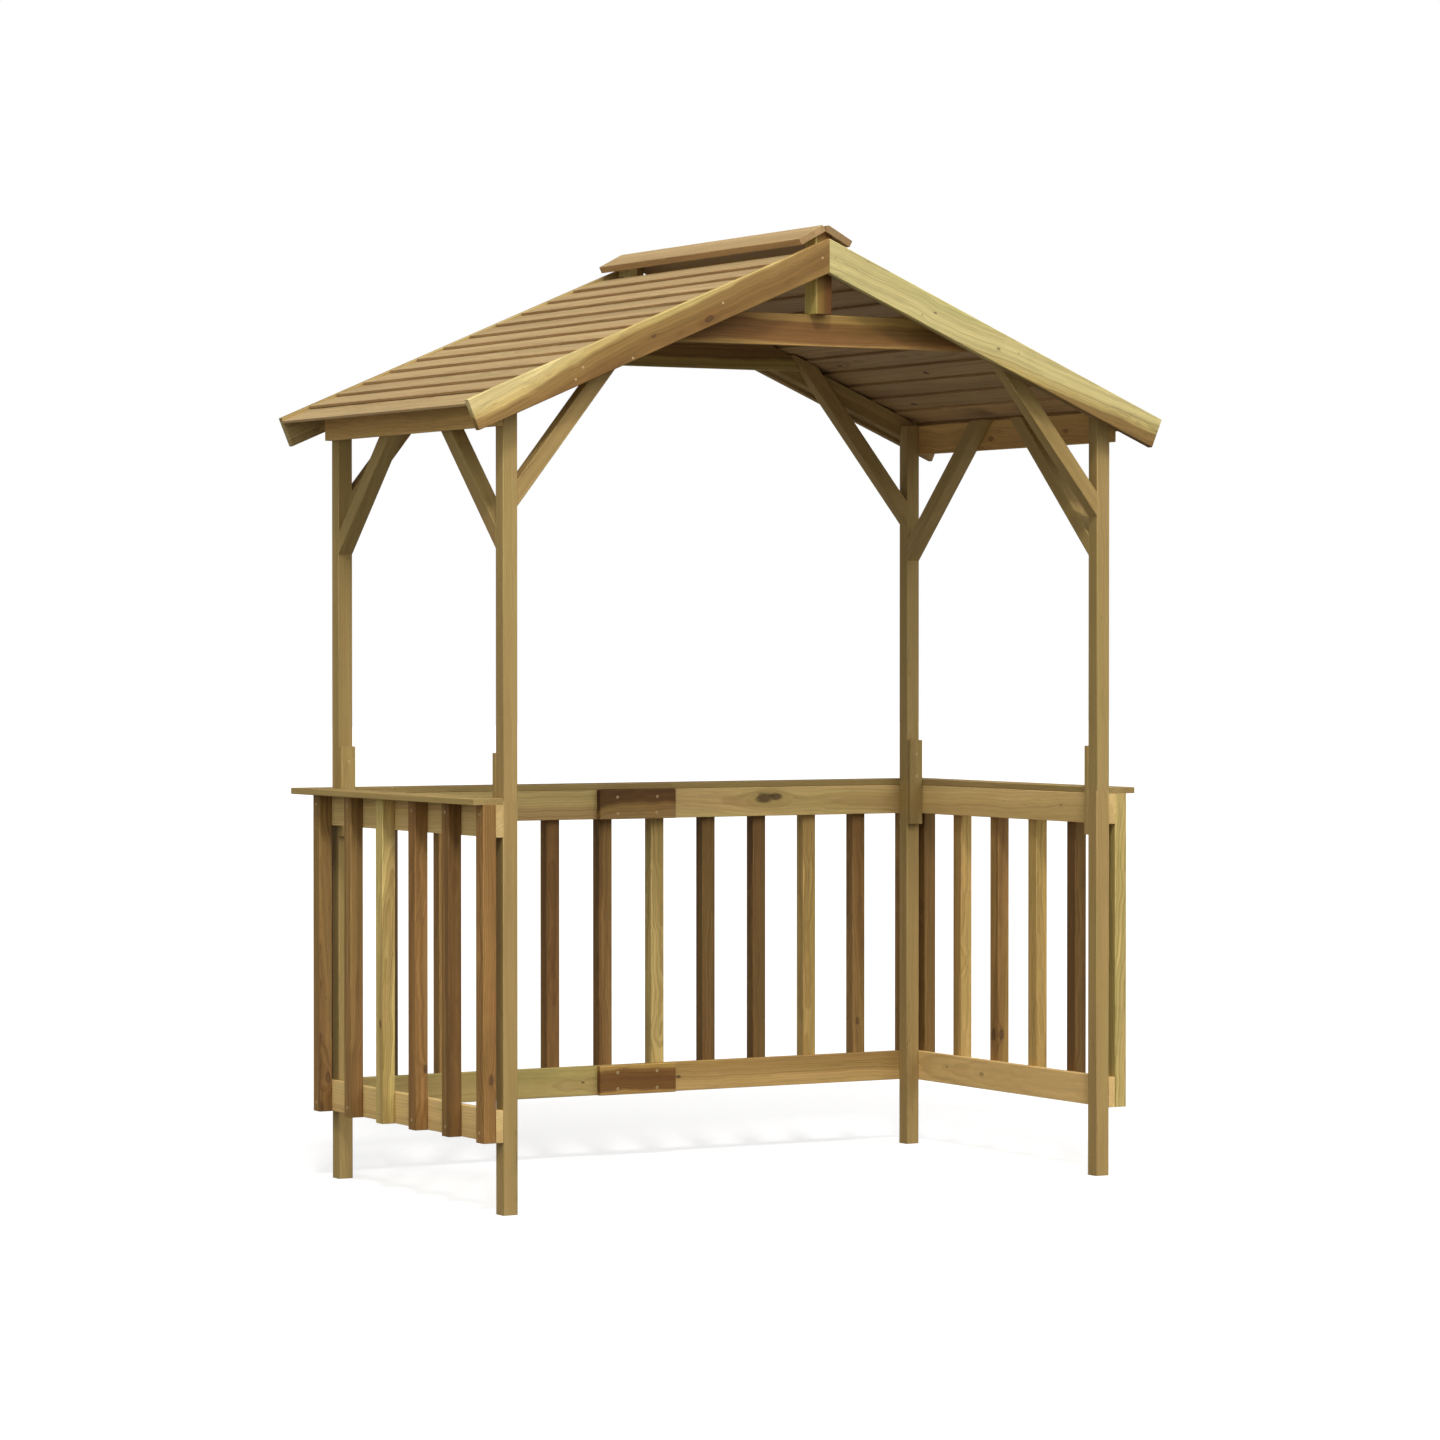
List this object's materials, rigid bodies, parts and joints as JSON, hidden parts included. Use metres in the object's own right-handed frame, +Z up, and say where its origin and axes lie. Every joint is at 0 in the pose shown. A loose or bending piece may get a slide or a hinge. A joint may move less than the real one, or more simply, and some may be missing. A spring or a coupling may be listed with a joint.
{
  "type": "barbecue shelter",
  "caption": "Open timber shelter for a barbecue, with a pitched roof of lapped boards under a raised ridge cap, diagonal braces, and low slatted sides topped by a narrow shelf.",
  "frame": {"origin": "on the ground, in the middle of the overall footprint", "axes": "+X to the right seen from the open front, +Y from the open front to the rear, +Z up"},
  "size_m": [1.892, 1.032, 2.2745],
  "materials": {
    "post": "pressure-treated softwood, planed, dry",
    "king_post": "pressure-treated softwood, planed, dry",
    "splice_plate": "pressure-treated softwood, planed, dry",
    "side_rail": "pressure-treated softwood, planed, dry",
    "rear_rail": "pressure-treated softwood, planed, dry",
    "joint_plate": "pressure-treated softwood, planed, dry",
    "picket": "pressure-treated softwood, planed, dry",
    "side_shelf": "pressure-treated softwood, planed, dry",
    "rear_shelf": "pressure-treated softwood, planed, dry",
    "eaves_beam": "pressure-treated softwood, planed, dry",
    "rafter": "pressure-treated softwood, planed, dry",
    "barge_board": "pressure-treated softwood, planed, dry",
    "collar_tie": "pressure-treated softwood, planed, dry",
    "gable_brace": "pressure-treated softwood, planed, dry",
    "side_brace": "pressure-treated softwood, planed, dry",
    "roof_board": "pressure-treated softwood, planed, dry",
    "ridge_board": "pressure-treated softwood, planed, dry"
  },
  "bodies": {
    "root": {"post_front_left_lower": "post", "post_front_left_upper": "post", "post_front_right_lower": "post", "post_front_right_upper": "post", "post_rear_left_lower": "post", "post_rear_left_upper": "post", "post_rear_right_lower": "post", "post_rear_right_upper": "post", "splice_plates_front": "splice_plate", "splice_plates_rear": "splice_plate", "left_bottom_rail": "side_rail", "left_top_rail": "side_rail", "right_bottom_rail": "side_rail", "right_top_rail": "side_rail", "rear_bottom_rail": "rear_rail", "rear_top_rail": "rear_rail", "rail_joint_plates": "joint_plate", "left_pickets": "picket", "right_pickets": "picket", "rear_pickets": "picket", "left_shelf": "side_shelf", "right_shelf": "side_shelf", "rear_shelf": "rear_shelf", "left_eaves_beam": "eaves_beam", "right_eaves_beam": "eaves_beam", "rafter_front_left": "rafter", "rafter_front_right": "rafter", "rafter_rear_left": "rafter", "rafter_rear_right": "rafter", "barge_board_front_left": "barge_board", "barge_board_front_right": "barge_board", "barge_board_rear_left": "barge_board", "barge_board_rear_right": "barge_board", "collar_tie_front": "collar_tie", "king_post_front": "king_post", "gable_braces_front": "gable_brace", "collar_tie_rear": "collar_tie", "king_post_rear": "king_post", "gable_braces_rear": "gable_brace", "side_braces_left": "side_brace", "left_roof_boards": "roof_board", "ridge_cap_left": "ridge_board", "side_braces_right": "side_brace", "right_roof_boards": "roof_board", "ridge_cap_right": "ridge_board"}
  },
  "joints": []
}
